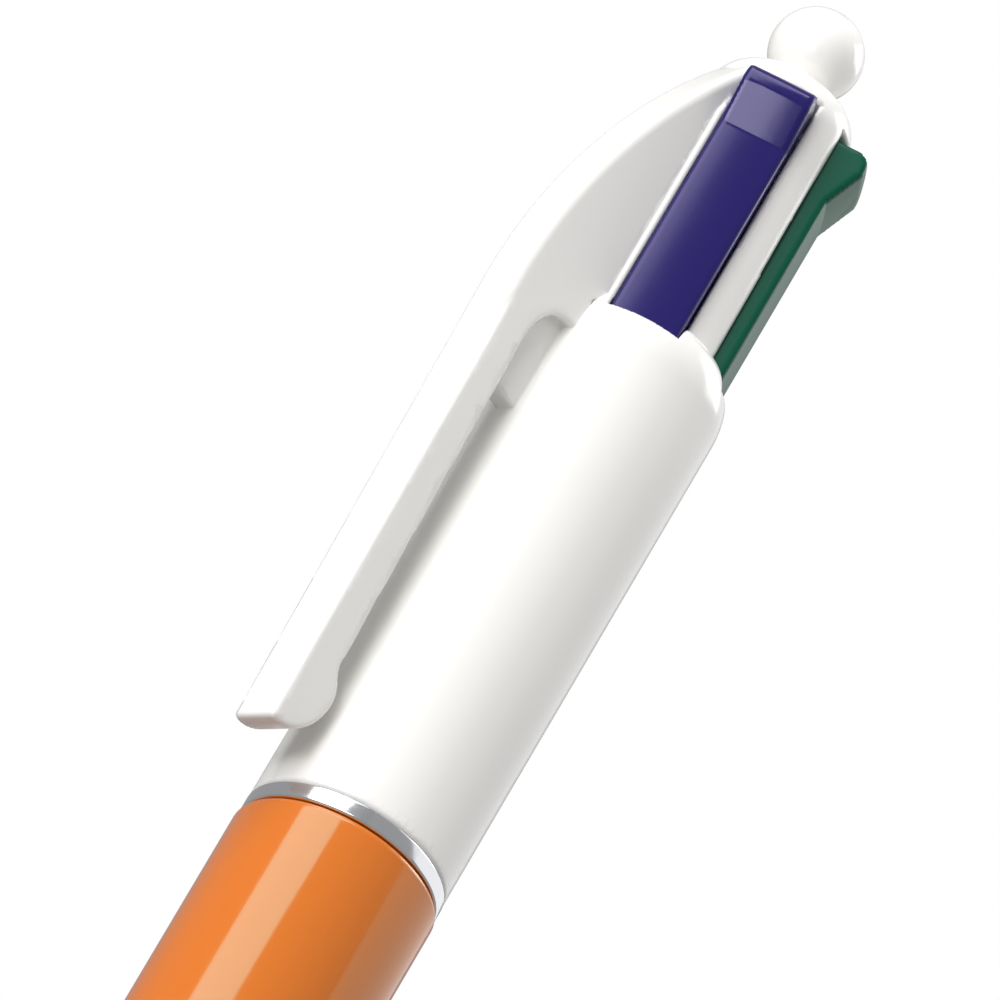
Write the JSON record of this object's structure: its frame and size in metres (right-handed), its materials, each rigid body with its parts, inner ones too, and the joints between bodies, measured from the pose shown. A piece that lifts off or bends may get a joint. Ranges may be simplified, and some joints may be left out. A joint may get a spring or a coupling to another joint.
{
  "type": "multicolor click pen",
  "caption": "Ballpoint pen with a sliding thumb piece for each ink colour, a screw-on lower barrel, a moulded pocket clip and a ball on top.",
  "frame": {"origin": "in the gap between the clip and the barrel, just under the web where a pocket's edge stops", "axes": "+Z along the pen from the writing end to the ball on top; -Y from the barrel out through the clip"},
  "size_m": [0.0122, 0.017, 0.1482],
  "materials": {
    "orange_plastic": "glossy moulded barrel",
    "white_plastic": "glossy moulded body, clip and ball",
    "bright_metal": "bright ring",
    "natural_plastic": "uncoloured moulded plastic and refill tubes",
    "spring_steel": "spring wire and writing balls",
    "brass": "turned refill points",
    "blue_plastic": "glossy slider",
    "green_plastic": "glossy slider",
    "red_plastic": "glossy slider",
    "black_plastic": "glossy slider",
    "blue_ink": "paste ink",
    "green_ink": "paste ink",
    "red_ink": "paste ink",
    "black_ink": "paste ink"
  },
  "bodies": {
    "barrel": {"upper_barrel": "white_plastic", "ball_cap": "white_plastic", "core_guide": "natural_plastic", "spring_seat": "natural_plastic", "blue_spring": "spring_steel", "green_spring": "spring_steel", "red_spring": "spring_steel", "black_spring": "spring_steel"},
    "ring": {"barrel_ring": "bright_metal"},
    "lower_barrel": {"lower_barrel": "orange_plastic"},
    "blue_slider": {"blue_slider": "blue_plastic", "blue_refill_tube": "natural_plastic", "blue_ink": "blue_ink"},
    "blue_point": {"blue_brass_point": "brass", "blue_writing_ball": "spring_steel"},
    "green_slider": {"green_slider": "green_plastic", "green_refill_tube": "natural_plastic", "green_ink": "green_ink"},
    "green_point": {"green_brass_point": "brass", "green_writing_ball": "spring_steel"},
    "red_slider": {"red_slider": "red_plastic", "red_refill_tube": "natural_plastic", "red_ink": "red_ink"},
    "red_point": {"red_brass_point": "brass", "red_writing_ball": "spring_steel"},
    "black_slider": {"black_slider": "black_plastic", "black_refill_tube": "natural_plastic", "black_ink": "black_ink"},
    "black_point": {"black_brass_point": "brass", "black_writing_ball": "spring_steel"}
  },
  "joints": [
    {"name": "ring_travel", "type": "slide", "parent": "barrel", "child": "ring", "axis": [0, 0, -1], "range_m": [0, 0.0045]},
    {"name": "barrel_unscrew", "type": "hinge", "parent": "ring", "child": "lower_barrel", "pos_m": [0, 0.0072, -0.0275], "axis": [0, 0, -1], "range_deg": [0, 1080]},
    {"name": "blue_press", "type": "slide", "parent": "barrel", "child": "blue_slider", "axis": [0, 0, -1], "range_m": [0, 0.011], "stiffness_N_per_m": 60, "springref_m": -0.01, "deforming": ["blue_spring", "blue_refill_tube", "blue_ink", "blue_brass_point", "blue_writing_ball"]},
    {"name": "blue_point_swing", "type": "hinge", "parent": "blue_slider", "child": "blue_point", "pos_m": [0.00152, 0.00568, -0.0565], "axis": [0.7071, 0.7071, 0], "range_deg": [0, 2.54]},
    {"name": "green_press", "type": "slide", "parent": "barrel", "child": "green_slider", "axis": [0, 0, -1], "range_m": [0, 0.011], "stiffness_N_per_m": 60, "springref_m": -0.01, "deforming": ["green_spring", "green_refill_tube", "green_ink", "green_brass_point", "green_writing_ball"]},
    {"name": "green_point_swing", "type": "hinge", "parent": "green_slider", "child": "green_point", "pos_m": [0.00152, 0.00872, -0.0565], "axis": [-0.7071, 0.7071, 0], "range_deg": [0, 2.54]},
    {"name": "red_press", "type": "slide", "parent": "barrel", "child": "red_slider", "axis": [0, 0, -1], "range_m": [0, 0.011], "stiffness_N_per_m": 60, "springref_m": -0.01, "deforming": ["red_spring", "red_refill_tube", "red_ink", "red_brass_point", "red_writing_ball"]},
    {"name": "red_point_swing", "type": "hinge", "parent": "red_slider", "child": "red_point", "pos_m": [-0.00152, 0.00872, -0.0565], "axis": [-0.7071, -0.7071, 0], "range_deg": [0, 2.54]},
    {"name": "black_press", "type": "slide", "parent": "barrel", "child": "black_slider", "axis": [0, 0, -1], "range_m": [0, 0.011], "stiffness_N_per_m": 60, "springref_m": -0.01, "deforming": ["black_spring", "black_refill_tube", "black_ink", "black_brass_point", "black_writing_ball"]},
    {"name": "black_point_swing", "type": "hinge", "parent": "black_slider", "child": "black_point", "pos_m": [-0.00152, 0.00568, -0.0565], "axis": [0.7071, -0.7071, 0], "range_deg": [0, 2.54]}
  ],
  "couplings": [
    {"joint": "barrel_unscrew", "follows": "ring_travel", "rad_per_m": 4188.8},
    {"joint": "blue_point_swing", "follows": "blue_press", "rad_per_m": 3.965},
    {"joint": "green_point_swing", "follows": "green_press", "rad_per_m": 3.965},
    {"joint": "red_point_swing", "follows": "red_press", "rad_per_m": 3.965},
    {"joint": "black_point_swing", "follows": "black_press", "rad_per_m": 3.965}
  ]
}
